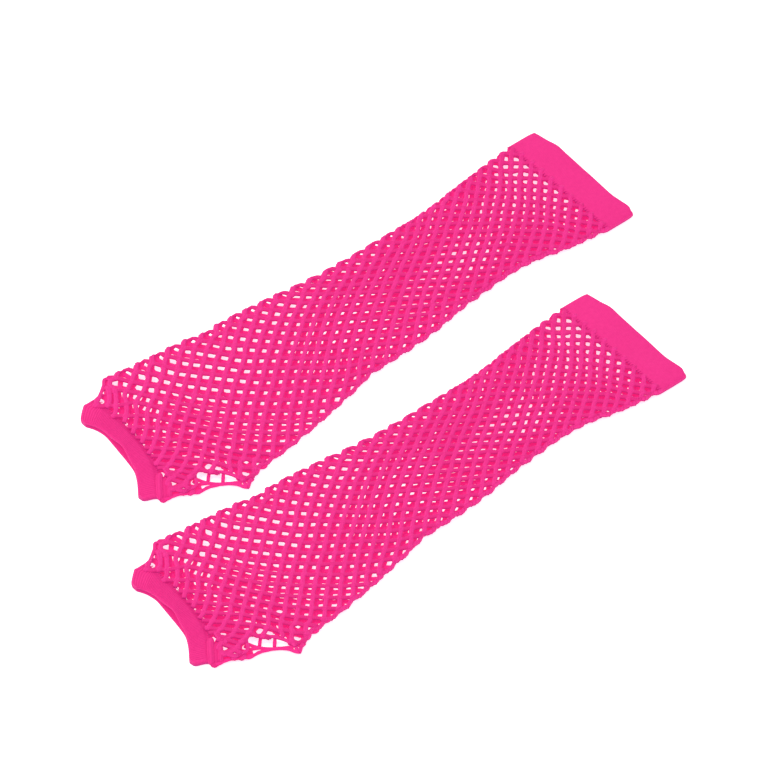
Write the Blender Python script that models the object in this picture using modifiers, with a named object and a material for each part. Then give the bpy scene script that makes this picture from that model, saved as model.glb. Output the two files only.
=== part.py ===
"""Pair of fingerless arm gloves of diamond net, laid flat side by side.

Each glove is a flattened tube: a net body with a thumb slit in its side seam, a
smooth jersey cuff at the arm end and a ribbed band over the knuckles.
X runs along the gloves from the fingers to the arm, Z is up, and the thumb side
faces -Y. Tables are in millimetres; the objects are in metres.
"""

import math

import bmesh
import bpy

MM = 0.001

# Where the second glove lies, seen from the first.
SECOND_GLOVE_ALONG = -61.1
SECOND_GLOVE_ACROSS = 118.4

# Cloth: the walls, and the space between the two layers that lie on each other.
NET_WALL = 2.0
CUFF_WALL = 1.6
BAND_WALL = 1.6
NET_SPACE = 0.7
CUFF_SPACE = 1.0
BAND_SPACE = 1.0

# Soft swelling of the upper layer over the lower one.
NET_PUFF = 0.5
CUFF_PUFF = 0.7
BAND_PUFF = 1.0

# Net: rows of diamonds counted from the knuckle band to the arm cuff.
NET_ROWS = 30.5
ROW_STEP = 0.5
SLIT_END_ROW = 3.5
ACROSS_STEPS = 8
TURN_ANGLES = (-45.0, 0.0, 45.0)

# Edges of the net, a line for each row that is named: how far along and across the
# folded edge and the sewn thumb edge lie.
NET_EDGES = (
    # row, fold_along, fold_across, thumb_along, thumb_across
    (0.0, 17.8, -44.3, 4.5, 44.3),
    (0.5, 22.0, -45.4, 9.3, 46.8),
    (1.0, 27.2, -48.6, 14.0, 50.2),
    (1.5, 32.0, -52.3, 19.0, 51.9),
    (2.5, 45.0, -50.5, 29.5, 55.3),
    (3.0, 50.5, -49.8, 34.6, 58.6),
    (3.5, 56.0, -49.2, 39.0, 65.8),
    (4.0, 61.5, -48.8, 44.5, 62.8),
    (4.5, 67.0, -48.3, 50.0, 60.5),
    (6.5, 89.0, -46.0, 71.5, 57.3),
    (7.5, 99.5, -43.4, 82.0, 55.8),
    (8.5, 109.5, -44.4, 94.0, 53.8),
    (11.5, 141.0, -42.3, 133.0, 45.8),
    (13.0, 157.5, -40.4, 149.5, 41.6),
    (15.5, 185.0, -38.0, 177.0, 40.3),
    (17.5, 206.5, -38.0, 198.0, 38.6),
    (19.5, 227.5, -38.0, 220.0, 34.6),
    (21.5, 248.5, -38.6, 240.0, 32.3),
    (23.5, 268.5, -40.3, 262.0, 30.4),
    (25.5, 286.5, -42.8, 280.0, 31.2),
    (27.5, 303.0, -44.9, 299.0, 35.2),
    (30.5, 326.0, -47.9, 325.8, 38.8),
)

# Upper lip of the thumb slit: the row and how far across it lies.
SLIT_LIP = (
    # row, lip_across
    (0.0, 44.0),
    (1.0, 42.6),
    (2.0, 39.8),
    (2.5, 42.0),
    (3.0, 48.0),
    (3.5, 62.0),
)

# Scallops of diamond corners along the fold and smaller puckers along the seam.
SCALLOPS = (
    # row, fold_depth, thumb_depth
    (0.0, 0.0, 0.0),
    (1.5, 0.8, 0.0),
    (2.5, 1.4, 0.2),
    (4.5, 1.4, 0.6),
    (18.5, 1.3, 0.8),
    (22.5, 0.5, 0.7),
    (26.5, 1.0, 0.8),
    (30.5, 0.3, 0.4),
)

# Shallow waves of the net's upper layer: middle, reach and height of each.
WAVES = (
    # row, share_across, rows_long, share_wide, height
    (1.5, 0.35, 1.6, 0.22, 0.9),
    (2.2, 0.72, 1.8, 0.16, 0.8),
    (6.0, 0.25, 3.0, 0.20, 0.4),
    (12.5, 0.62, 4.5, 0.18, 0.6),
    (18.0, 0.38, 5.0, 0.20, 0.5),
    (24.5, 0.70, 3.5, 0.20, 0.6),
    (28.5, 0.30, 2.5, 0.22, 0.5),
)

# Knuckle band: its open edge and its seam with the net, from the fold (0) to the thumb side (1).
BAND_EDGES = (
    # share, mouth_along, mouth_across, seam_along, seam_across
    (0.00, 1.2, -35.2, 17.5, -44.3),
    (0.15, 3.2, -26.0, 17.4, -32.0),
    (0.30, 4.0, -15.5, 17.2, -19.5),
    (0.45, 3.0, -5.0, 16.6, -6.5),
    (0.60, 0.7, 5.5, 13.8, 6.5),
    (0.75, -2.0, 16.0, 10.6, 19.0),
    (0.88, -6.8, 25.5, 8.0, 31.0),
    (1.00, -12.4, 34.2, 4.2, 44.3),
)
BAND_END_BULGE = 2.5
BAND_STEPS = 6
BAND_ACROSS_STEPS = 11
BAND_MOUTH_LIFT = 1.0

# Arm cuff: its open edge, from the fold (0) to the thumb side (1).
CUFF_EDGE = (
    # share, along
    (0.00, 344.9),
    (0.08, 346.0),
    (0.19, 347.0),
    (0.35, 346.3),
    (0.55, 345.6),
    (0.80, 345.7),
    (0.94, 347.0),
    (1.00, 346.2),
)
CUFF_SEAM_ALONG = 326.3
CUFF_FOLD_ACROSS = -47.9
CUFF_THUMB_ACROSS = 39.3
CUFF_STEPS = 5
CUFF_ACROSS_STEPS = 9

COLOURS = {
    # slot: red, green, blue (linear) and roughness
    "net": (0.84, 0.032, 0.24, 0.75),
    "jersey": (0.88, 0.040, 0.27, 0.70),
    "rib": (0.86, 0.036, 0.26, 0.72),
}


def clear_scene():
    for item in list(bpy.data.objects):
        bpy.data.objects.remove(item, do_unlink=True)
    for group in list(bpy.data.collections):
        bpy.data.collections.remove(group)


def read_smooth(rows, place, column):
    """The value of a table's column at a place between its rows, on a smooth curve."""
    last = len(rows) - 1
    if place <= rows[0][0]:
        return rows[0][column]
    if place >= rows[last][0]:
        return rows[last][column]
    at = max(i for i in range(last) if rows[i][0] <= place)
    span = rows[at + 1][0] - rows[at][0]
    share = (place - rows[at][0]) / span

    def slope(i):
        low, high = max(i - 1, 0), min(i + 1, last)
        return (rows[high][column] - rows[low][column]) / (rows[high][0] - rows[low][0])

    square, cube = share ** 2, share ** 3
    start = (2 * cube - 3 * square + 1) * rows[at][column]
    end = (3 * square - 2 * cube) * rows[at + 1][column]
    leave = (cube - 2 * square + share) * span * slope(at)
    arrive = (cube - square) * span * slope(at + 1)
    return start + end + leave + arrive


def ring_places(steps):
    """Places round a flattened tube as (share across, turn angle or None, upper or lower layer).

    It runs from the thumb side under the glove to the fold and back over the top.
    """
    places = [(1 - i / steps, None, False) for i in range(steps + 1)]
    places += [(0.0, angle, True) for angle in TURN_ANGLES]
    places += [(i / steps, None, True) for i in range(steps + 1)]
    places += [(1.0, -angle, True) for angle in TURN_ANGLES]
    return places


def ring_point(place, fold, thumb, low, high):
    """One point of a ring: how far between the fold point and the thumb point, and its height.

    low and high are the heights of the two layers' middle surfaces.
    """
    share, angle, upper = place
    length = math.dist(fold, thumb)
    radius = (high - low) / 2
    if angle is None:
        reach = radius + share * (length - 2 * radius)
        height = high if upper else low
    else:
        inward = radius * (1 - math.cos(math.radians(angle)))
        reach = inward if share < 0.5 else length - inward
        height = low + radius + radius * math.sin(math.radians(angle))
    along = fold[0] + (thumb[0] - fold[0]) * reach / length
    across = fold[1] + (thumb[1] - fold[1]) * reach / length
    return along, across, height


def edge_fade(share):
    """0 at the two edges of a layer and 1 over its middle."""
    return min(1.0, 4.6 * share * (1 - share)) ** 0.8


def wave_height(row, share):
    total = 0.0
    for middle_row, middle_share, rows_long, share_wide, height in WAVES:
        reach = ((row - middle_row) / rows_long) ** 2 + ((share - middle_share) / share_wide) ** 2
        total += height * math.exp(-reach)
    return total


def band_point(share, step):
    """A point of the knuckle band's outline plan: step runs from the mouth (0) to the seam (1)."""
    mouth = (read_smooth(BAND_EDGES, share, 1), read_smooth(BAND_EDGES, share, 2))
    seam = (read_smooth(BAND_EDGES, share, 3), read_smooth(BAND_EDGES, share, 4))
    along = mouth[0] + (seam[0] - mouth[0]) * step
    across = mouth[1] + (seam[1] - mouth[1]) * step
    side = 2 * share - 1
    across += BAND_END_BULGE * math.sin(math.pi * step) * side ** 3 - BAND_WALL / 2 * side ** 5
    return along, across


def net_ring(row):
    """The points of one row round the net, with None for the places the thumb slit leaves out."""
    low = NET_WALL / 2
    high = low + NET_WALL + NET_SPACE
    depth = math.cos(2 * math.pi * (row - 0.5))
    fold_along = read_smooth(NET_EDGES, row, 1)
    fold_across = read_smooth(NET_EDGES, row, 2) - depth * read_smooth(SCALLOPS, row, 1)
    thumb_along = read_smooth(NET_EDGES, row, 3)
    thumb_across = read_smooth(NET_EDGES, row, 4) + depth * read_smooth(SCALLOPS, row, 2)
    fold = (fold_along, fold_across + NET_WALL / 2)
    thumb = (thumb_along, thumb_across - NET_WALL / 2)
    lip = (thumb_along, read_smooth(SLIT_LIP, row, 1))
    open_here = row < SLIT_END_ROW
    bend = max(0.0, 1 - row / 6.0) ** 1.5
    points = []
    for place in ring_places(ACROSS_STEPS):
        share, angle, upper = place
        if open_here and share == 1.0 and angle is not None:
            points.append(None)
            continue
        far = lip if open_here and upper else thumb
        along, across, height = ring_point(place, fold, far, low, high)
        straight = fold_along + (thumb_along - fold_along) * share
        seam = band_point(share, 1.0)[0]
        chord = BAND_EDGES[0][3] + (BAND_EDGES[-1][3] - BAND_EDGES[0][3]) * share
        along += bend * (seam - chord)
        if upper and angle is None:
            height += edge_fade(share) * (NET_PUFF + wave_height(row, share))
        points.append((along, across, height))
    return points


def band_ring(step):
    low = BAND_WALL / 2
    high = low + BAND_WALL + BAND_SPACE
    points = []
    for share, angle, upper in ring_places(BAND_ACROSS_STEPS):
        along, across = band_point(share, step)
        radius = (high - low) / 2
        height = high if upper else low
        inward = radius * (1 - 2 * share)
        if angle is not None:
            inward *= 1 - math.cos(math.radians(angle))
            height = low + radius + radius * math.sin(math.radians(angle))
        across += inward
        if upper and angle is None:
            lift = BAND_PUFF + BAND_MOUTH_LIFT * (1 - step) ** 2
            height += edge_fade(share) * lift
            along += edge_fade(share) * 0.8 * (1 - step) ** 2
        points.append((along, across, height))
    return points


def cuff_ring(step):
    low = CUFF_WALL / 2
    high = low + CUFF_WALL + CUFF_SPACE
    points = []
    for place in ring_places(CUFF_ACROSS_STEPS):
        share, angle, upper = place
        corner = 1.2 * step ** 6
        fold = (0.0, CUFF_FOLD_ACROSS + CUFF_WALL / 2 + corner)
        thumb = (0.0, CUFF_THUMB_ACROSS - CUFF_WALL / 2 - corner)
        across, height = ring_point(place, fold, thumb, low, high)[1:]
        along = CUFF_SEAM_ALONG + (read_smooth(CUFF_EDGE, share, 1) - CUFF_SEAM_ALONG) * step
        if upper and angle is None:
            height += edge_fade(share) * CUFF_PUFF
        points.append((along, across, height))
    return points


def make_tube(name, rings, wall, shift, group, material):
    """A cloth tube: an open surface through the rings, thickened to the wall."""
    mesh = bpy.data.meshes.new(name)
    shell = bmesh.new()
    rows = []
    for ring in rings:
        row = []
        for point in ring:
            if point is None:
                row.append(None)
                continue
            along, across, height = point
            place = (along + shift[0], -(across + shift[1]), height)
            row.append(shell.verts.new([value * MM for value in place]))
        rows.append(row)
    for first, second in zip(rows, rows[1:]):
        count = len(first)
        for i in range(count):
            corners = (first[i], first[(i + 1) % count], second[(i + 1) % count], second[i])
            if None not in corners:
                shell.faces.new(corners)
    bmesh.ops.recalc_face_normals(shell, faces=shell.faces)
    shell.to_mesh(mesh)
    shell.free()
    mesh.materials.append(material)
    item = bpy.data.objects.new(name, mesh)
    group.objects.link(item)
    thick = item.modifiers.new("cloth", "SOLIDIFY")
    thick.thickness = wall * MM
    thick.offset = 0.0
    thick.use_even_offset = True
    return item


def make_material(slot):
    red, green, blue, roughness = COLOURS[slot]
    material = bpy.data.materials.new(slot)
    material.use_nodes = True
    finish = material.node_tree.nodes["Principled BSDF"]
    finish.inputs["Base Color"].default_value = (red, green, blue, 1.0)
    finish.inputs["Roughness"].default_value = roughness
    finish.inputs["Metallic"].default_value = 0.0
    return material


def plan_middle(ring_sets):
    """The middle of both gloves in plan, so that they lie round the origin."""
    along = [point[0] for rings in ring_sets for ring in rings for point in ring if point]
    across = [point[1] for rings in ring_sets for ring in rings for point in ring if point]
    middle_along = (min(along) + max(along) + SECOND_GLOVE_ALONG) / 2
    middle_across = (min(across) + max(across) + SECOND_GLOVE_ACROSS) / 2
    return middle_along, middle_across


def main():
    clear_scene()
    group = bpy.data.collections.new("mesh_gloves")
    bpy.context.scene.collection.children.link(group)
    net_steps = round(NET_ROWS / ROW_STEP)
    net = [net_ring(i * ROW_STEP) for i in range(net_steps + 1)]
    band = [band_ring(i / BAND_STEPS) for i in range(BAND_STEPS + 1)]
    cuff = [cuff_ring(i / CUFF_STEPS) for i in range(CUFF_STEPS + 1)]
    middle = plan_middle((net, band, cuff))
    materials = {slot: make_material(slot) for slot in COLOURS}
    places = ((1, 0.0, 0.0), (2, SECOND_GLOVE_ALONG, SECOND_GLOVE_ACROSS))
    for number, along, across in places:
        shift = (along - middle[0], across - middle[1])
        make_tube(f"glove_{number}_net", net, NET_WALL, shift, group, materials["net"])
        make_tube(f"glove_{number}_arm_cuff", cuff, CUFF_WALL, shift, group, materials["jersey"])
        make_tube(f"glove_{number}_knuckle_band", band, BAND_WALL, shift, group, materials["rib"])


main()
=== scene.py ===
"""Visual model of a pair of fingerless net arm gloves, lying flat side by side.

Each glove is one tube: a diamond net of soft cord, a plain knit cuff at the arm end
and a ribbed band over the knuckles. Plan measures are in millimetres, "along" from the
fingers to the arm and "across" from the folded edge to the thumb edge.
"""

import math

import bpy
import numpy as np
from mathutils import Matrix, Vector


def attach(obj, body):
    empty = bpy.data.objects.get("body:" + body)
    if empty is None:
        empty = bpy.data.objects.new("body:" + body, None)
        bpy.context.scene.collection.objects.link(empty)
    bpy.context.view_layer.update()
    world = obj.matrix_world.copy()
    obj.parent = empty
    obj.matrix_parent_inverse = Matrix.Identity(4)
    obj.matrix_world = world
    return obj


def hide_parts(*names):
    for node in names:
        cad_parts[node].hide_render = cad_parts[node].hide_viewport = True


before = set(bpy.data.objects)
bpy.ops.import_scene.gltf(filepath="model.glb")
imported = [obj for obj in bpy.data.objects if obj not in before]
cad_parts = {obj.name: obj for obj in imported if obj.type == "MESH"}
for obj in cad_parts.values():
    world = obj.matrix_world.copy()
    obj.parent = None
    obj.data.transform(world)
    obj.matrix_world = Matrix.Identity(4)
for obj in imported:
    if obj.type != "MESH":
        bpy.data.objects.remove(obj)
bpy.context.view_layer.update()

MM = 0.001
UP = np.array((0.0, 0.0, 1.0))

# Each glove: its number, and what is added to a plan place before it goes to the frame.
GLOVES = (
    (1, -136.735, -65.836),
    (2, -197.835, 52.564),
)

# Net: folded edge and thumb edge, how far across each lies at a place along the glove.
FOLD_EDGE = (
    # along, across
    (17.8, -42.3), (22.0, -43.4), (27.2, -46.7), (32.0, -52.2), (45.0, -50.5),
    (67.0, -48.3), (89.0, -46.0), (99.5, -43.4), (109.5, -44.4), (141.0, -42.3),
    (157.5, -40.4), (185.0, -38.0), (227.5, -38.0), (248.5, -38.6), (268.5, -40.3),
    (286.5, -42.8), (303.0, -44.9), (326.0, -47.9),
)
THUMB_EDGE = (
    (-6.0, 41.8), (-2.0, 44.4), (4.5, 45.0), (9.3, 47.7), (14.0, 50.6), (19.0, 51.9),
    (24.5, 52.5), (29.5, 54.8), (34.6, 57.8), (37.0, 62.5), (38.8, 66.6), (41.0, 65.0),
    (44.5, 62.8), (50.0, 60.5), (55.0, 58.9), (71.5, 57.3), (94.0, 53.8), (133.0, 45.8),
    (149.5, 41.6), (177.0, 40.3), (198.0, 38.6), (220.0, 34.6), (240.0, 32.3),
    (262.0, 30.4), (280.0, 31.2), (299.0, 35.2), (325.8, 38.8),
)
# The thumb edge that the columns are spread over, without the pulled-out corner.
THUMB_SPREAD = (
    (-6.0, 41.8), (4.5, 45.0), (14.0, 50.6), (24.5, 53.5), (34.6, 57.0), (44.5, 59.8),
    (55.0, 59.8),
) + THUMB_EDGE[15:]
# How sharply the pulled-out corner draws the columns beside it, and up to which share.
CORNER_PULL = 6.0
CORNER_END = 1.1
# The cords' middle lies this far inside the outline.
EDGE_INSET = 1.0
# The cut edge of the upper layer beside the thumb slit.
SLIT_LIP = (
    # along, across
    (4.5, 44.6), (11.0, 46.0), (15.5, 46.6), (18.5, 45.2), (20.0, 42.6), (21.7, 40.0),
    (24.7, 38.6), (27.4, 40.0), (28.9, 42.1), (29.7, 44.9), (32.1, 46.3), (34.5, 47.7),
    (36.5, 51.0), (38.3, 54.3), (39.3, 58.1), (39.9, 64.0),
)
# The lower layer is open in the same place: where that starts, and how far off its edge lies.
UNDER_SLIT_START = 20.6
UNDER_LIP_OFF = (1.6, -1.9)

# How the rows of diamonds lie in the upper and the lower layer: how far along a row is at
# the fold, at one and two thirds of its columns and at the thumb edge, and the share of
# the width that it has reached there.
TOP_LAY = (
    # row, along (fold, one third, two thirds, thumb edge), share (the same four)
    (-2.0, -13.5, -14.0, -11.5, -12.5, 0.02, 0.32, 0.69, 0.86),
    (0.0, 15.5, 8.0, 6.0, 9.5, -0.02, 0.34, 0.66, 0.91),
    (1.25, 27.0, 22.0, 18.0, 21.0, 0.00, 0.34, 0.66, 0.92),
    (2.5, 44.0, 35.5, 31.5, 32.0, 0.03, 0.36, 0.68, 0.97),
    (3.75, 59.5, 48.0, 43.0, 44.0, 0.02, 0.36, 0.67, 0.95),
    (5.0, 71.0, 61.5, 55.5, 55.0, 0.03, 0.37, 0.69, 1.01),
    (7.5, 98.0, 90.0, 84.5, 82.5, -0.02, 0.36, 0.69, 1.04),
    (10.0, 124.0, 118.5, 114.5, 113.5, 0.01, 0.36, 0.69, 1.01),
    (12.5, 151.0, 146.0, 143.0, 145.5, 0.04, 0.37, 0.71, 1.04),
    (15.0, 178.5, 174.0, 171.5, 173.5, 0.04, 0.34, 0.68, 1.03),
    (17.5, 204.5, 201.5, 199.5, 202.5, 0.04, 0.34, 0.67, 1.03),
    (20.0, 233.5, 227.5, 226.0, 229.0, 0.04, 0.36, 0.70, 1.05),
    (22.5, 257.0, 254.0, 252.5, 256.5, -0.01, 0.36, 0.73, 1.07),
    (25.0, 280.0, 279.0, 279.0, 279.0, 0.01, 0.38, 0.73, 1.07),
    (27.5, 302.0, 301.5, 301.5, 301.5, 0.03, 0.38, 0.71, 1.03),
    (29.0, 314.0, 314.0, 313.5, 313.0, 0.07, 0.37, 0.71, 1.05),
    (31.0, 332.0, 332.0, 331.5, 330.0, 0.04, 0.36, 0.70, 1.05),
)
UNDER_LAY = (
    # row, along (fold, one third, two thirds, thumb edge), share (the same four)
    (-2.0, -7.0, -13.5, -15.0, -3.5, -0.05, 0.32, 0.67, 0.92),
    (0.0, 19.5, 12.5, 10.5, 16.0, -0.04, 0.31, 0.64, 0.92),
    (1.25, 28.0, 24.0, 20.0, 25.5, 0.04, 0.32, 0.63, 0.90),
    (2.5, 41.0, 35.5, 33.0, 38.0, 0.00, 0.35, 0.64, 0.93),
    (3.75, 55.5, 48.5, 45.5, 45.5, 0.01, 0.33, 0.63, 0.94),
    (5.0, 69.5, 61.0, 56.5, 57.0, 0.01, 0.34, 0.66, 0.98),
    (7.5, 97.5, 89.0, 84.5, 83.5, -0.04, 0.33, 0.67, 0.99),
    (10.0, 123.0, 118.0, 115.0, 111.5, -0.01, 0.34, 0.67, 0.99),
    (12.5, 148.5, 146.0, 144.5, 143.5, 0.00, 0.36, 0.70, 1.02),
    (15.0, 176.5, 175.5, 174.5, 172.5, -0.01, 0.33, 0.67, 1.03),
    (17.5, 203.5, 204.0, 204.0, 201.0, 0.01, 0.33, 0.66, 1.03),
    (20.0, 230.5, 231.5, 230.5, 228.0, 0.02, 0.35, 0.68, 1.06),
    (22.5, 256.0, 258.0, 258.0, 254.0, 0.01, 0.34, 0.69, 1.08),
    (25.0, 285.0, 283.0, 282.5, 280.5, 0.01, 0.32, 0.69, 1.07),
    (27.5, 303.0, 305.0, 304.5, 305.5, 0.00, 0.32, 0.66, 1.04),
    (29.0, 315.0, 317.0, 316.5, 315.0, -0.01, 0.30, 0.65, 1.06),
    (31.0, 333.0, 333.5, 333.0, 331.0, -0.01, 0.30, 0.65, 1.07),
)
# Over how many columns the two layers' tables join at the fold, and how far towards the
# arm the knots on the fold itself lie.
FOLD_BLEND = 1.2
FOLD_SHIFT = 1.3
SHIFT_REACH = 0.5
NET_END = 328.0
NET_SHARE_END = 0.995
# Where the net starts beside the knuckle band.
NET_START = (
    # across, along
    (-43.9, 16.1), (-35.5, 16.3), (-27.5, 16.1), (-19.5, 15.9), (-6.5, 15.1), (6.5, 12.5),
    (17.0, 10.4), (24.0, 8.0), (30.0, 7.4), (37.0, 4.8), (41.0, 3.0), (46.0, 1.5),
)
# How many diamonds a layer is wide, and the row where the first strand of each lean
# crosses the fold. Strands are numbered by the row of that crossing.
TOP_COLUMNS = 9.75
UNDER_COLUMNS = 9.65
RISING_START = 0.3
FALLING_START = 0.7
FIRST_STRAND = -12
LAST_STRAND = 43
STRAND_ROWS = 23.0
COLUMN_LIMIT = 11.4

# Cells that stand wide open through both layers, and how far the upper layer's part of
# such an opening lies from the lower layer's.
OPEN_CELLS = (
    # along, across, reach
    (9.9, 26.3, 1.5), (15.9, 26.9, 0.9), (10.5, 34.8, 1.7), (16.2, 34.0, 1.0),
    (11.4, 41.4, 0.6), (19.2, 42.9, 1.4), (32.6, 38.2, 0.9), (36.0, 43.2, 0.9),
    (46.2, 56.2, 1.0), (56.6, 53.9, 1.1), (51.2, 49.2, 0.7), (52.0, 33.2, 0.2),
    (25.4, -45.1, 2.0), (19.9, -40.6, 1.5), (35.2, -46.9, 0.7),
)
OPEN_SPREAD = 2.3
OPEN_UPPER = np.array((-1.9, 2.2))

# Net: heights of the middle of the two layers, and how far the upper one swells.
UNDER_HEIGHT = 1.25
TOP_HEIGHT = 3.75
NET_PUFF = 0.5
# A layer's height fades out towards its edges.
FADE_RATE = 4.6
FADE_POWER = 0.8

# Net: the cord, and the knots where two cords meet.
CORD_WIDTH = 2.85
CORD_HEIGHT = 1.9
CORD_SIDES = 7
CORD_STEPS = 5
FOLD_SWELL = 0.16
HALF_ROW = 0.5
KNOT_SWELL = 0.12
KNOT_RISE = 0.2
# long, wide, high
KNOT_SIZE = (4.6, 4.0, 2.5)
KNOT_FULLNESS = 0.8
KNOT_SIDES = 8
KNOT_RINGS = 6
# How far off a knot, in rows, the net is read for its direction.
KNOT_PROBE = 0.05

# Cords round the thumb slit and at the folded corner beside the band, each a run of places.
EDGE_WIDTH = 2.1
EDGE_HEIGHT = 1.7
EDGE_STEP = 0.7
EDGE_SIDES = 10
EDGE_CORDS = (
    # the cut edge of the lower layer, out to the pulled corner: along, across, height
    ((-2.8, 42.3, 1.6), (-0.6, 43.3, 1.7), (3.0, 43.6, 1.8), (6.5, 44.8, 1.8), (9.5, 46.6, 1.8),
     (12.5, 47.9, 1.8), (15.3, 50.4, 1.7), (19.0, 50.5, 1.6), (22.5, 50.8, 1.5), (26.5, 52.0, 1.4),
     (30.6, 54.0, 1.4), (34.2, 56.8, 1.5), (36.6, 60.3, 1.8), (37.9, 63.8, 2.1), (38.9, 65.4, 2.3)),
    # the cut edge of the upper layer
    ((6.2, 45.0, 2.8), (11.0, 46.2, 3.2), (15.5, 46.9, 3.5), (18.4, 45.4, 3.7), (20.0, 42.6, 3.75),
     (21.7, 40.0, 3.75), (24.7, 38.6, 3.75), (27.4, 40.0, 3.75), (28.9, 42.1, 3.75),
     (29.8, 44.7, 3.75), (32.1, 46.3, 3.75), (34.5, 47.7, 3.75), (36.5, 51.0, 3.7),
     (38.3, 54.3, 3.6), (39.3, 58.1, 3.3), (39.6, 61.6, 2.9), (39.2, 64.9, 2.4)),
    # the lower rim of the three wide cells
    ((18.6, 42.5, 1.4), (21.3, 41.2, 1.3), (22.8, 44.0, 1.1), (24.3, 46.9, 1.1), (25.6, 48.7, 1.1),
     (28.0, 51.2, 1.1), (30.8, 53.6, 1.1), (33.2, 55.2, 1.1), (36.6, 57.5, 1.3), (39.2, 60.0, 1.8)),
    # the bridges between the wide cells
    ((25.7, 46.6, 1.3), (28.2, 44.1, 1.7), (29.4, 43.2, 3.2)),
    ((31.6, 52.6, 1.3), (34.2, 49.8, 1.7), (35.2, 48.9, 3.2)),
    # the strand beside the narrow cell
    ((16.5, 44.6, 1.5), (19.1, 45.2, 1.3), (22.1, 46.5, 1.2), (25.1, 48.1, 1.2)),
    # the folded corner of the net beside the knuckle band
    ((13.4, -42.9, 2.0), (16.2, -42.8, 2.2), (18.8, -42.8, 2.3), (22.1, -44.3, 2.4),
     (25.7, -46.7, 2.5), (28.7, -48.9, 2.6), (30.6, -51.2, 2.7), (31.7, -51.9, 2.8),
     (33.0, -51.0, 3.0), (33.6, -48.8, 3.3)),
)

# Side seam from the slit's corner to just past the cuff's edge.
SEAM_START = 38.9
SEAM_PAST = 1.5
SEAM_STEP = 0.8
SEAM_WIDTH = 2.3
SEAM_HEIGHT = 2.9
SEAM_LIFT = 0.2
SEAM_PUCKER = 0.8
SEAM_GROWTH = 12.0
# Its first points rise from the edge cord at the slit's corner.
SEAM_RISE = 6
# Rows read to find the one beside each place of the seam: first, last and how many.
SEAM_ROWS = (2.0, 31.0, 600)

# The thread that overcasts the side seam, and the stitches of the two ring seams.
OVERCAST_PITCH = 2.3
OVERCAST_POINTS = 8
SLACK = 0.06
SLACK_RATE = 0.37
THREAD_SIDES = 5
THREAD_WIDTH = 0.55
STITCH_LENGTH = 2.2
STITCH_PITCH = 1.7
STITCH_LIFT = 0.95
STITCH_LEAN = 0.35
STITCH_WIDTH = 1.1 * THREAD_WIDTH
STITCH_SHAPE = (
    # share of half the length, how much higher
    (-1.0, -0.35), (-0.6, 0.0), (0.6, 0.1), (1.0, -0.35),
)

# Scallops of diamond corners that stand out along the fold.
FOLD_SCALLOPS = (
    # along, depth
    (17.8, 0.0), (32.0, 0.5), (45.0, 1.0), (200.0, 1.0), (250.0, 0.5), (290.0, 0.8),
    (326.0, 0.2),
)
SCALLOP_REACH = 1.4
# The outline of one scallop, over one row of the net.
SCALLOP_SHAPE = (
    # share of the row, how far out
    (0.00, -1.00), (0.12, 0.50), (0.27, 1.00), (0.50, 0.60), (0.72, 0.60), (0.88, -0.20),
    (1.00, -1.00),
)

# Shallow waves of the net's upper layer: middle, reach and height of each.
WAVES = (
    # row, share_across, rows_long, share_wide, height
    (1.5, 0.35, 1.6, 0.22, 0.9),
    (2.2, 0.72, 1.8, 0.16, 0.8),
    (6.0, 0.25, 3.0, 0.20, 0.4),
    (12.5, 0.62, 4.5, 0.18, 0.6),
    (18.0, 0.38, 5.0, 0.20, 0.5),
    (24.5, 0.70, 3.5, 0.20, 0.6),
    (28.5, 0.30, 2.5, 0.22, 0.5),
)

# Knuckle band: its open edge and its seam with the net, from the fold (0) to the thumb side (1).
BAND_EDGES = (
    # share, mouth_along, mouth_across, seam_along, seam_across
    (0.00, 1.3, -33.4, 17.6, -43.9),
    (0.10, 4.0, -27.0, 17.8, -35.5),
    (0.20, 5.1, -20.0, 17.6, -27.5),
    (0.30, 4.4, -13.4, 17.4, -19.5),
    (0.45, 2.9, -3.4, 16.6, -6.5),
    (0.60, 1.3, 6.6, 14.0, 6.5),
    (0.72, -0.6, 14.6, 11.4, 17.0),
    (0.82, -4.0, 21.2, 8.2, 24.0),
    (0.92, -8.4, 27.9, 2.6, 32.5),
    (1.00, -12.0, 33.2, -5.2, 40.0),
)
# The two ends of the band, from its open edge (0) to its seam (1).
BAND_FOLD_END = (
    # step, along, across
    (0.00, 1.1, -33.4), (0.08, 1.2, -36.2), (0.20, 3.2, -38.6), (0.44, 8.8, -43.4),
    (0.50, 9.8, -44.1), (0.58, 11.4, -43.9), (1.00, 17.6, -43.9),
)
BAND_THUMB_END = (
    (0.00, -12.2, 33.2), (0.14, -11.9, 35.2), (0.30, -10.4, 36.4), (0.75, -5.6, 38.4),
    (1.00, -3.6, 40.4),
)
BAND_END_REACH = 0.10
BAND_SPACE = 0.3
# The band swells up between its edges, from this share of the puff at its mouth.
BAND_PUFF = 1.3
BAND_CROWN = 0.35
BAND_ARCH = 0.1
BAND_SEAM_DIP = 0.7
BAND_DIP_START = 0.72
BAND_DIP_REACH = 0.14
BAND_MOUTH_LIFT = 1.7
BAND_MOUTH_BACK = 1.5
BAND_OPEN_SHARE = 0.46
BAND_OPEN_REACH = 0.13
BAND_RIBS = 72
RIB_POINTS = 6
RIB_DEPTH = 0.45
RIB_MIDDLE = 0.6
RIB_WALE = 1.25
BAND_STEPS = 14

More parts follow.
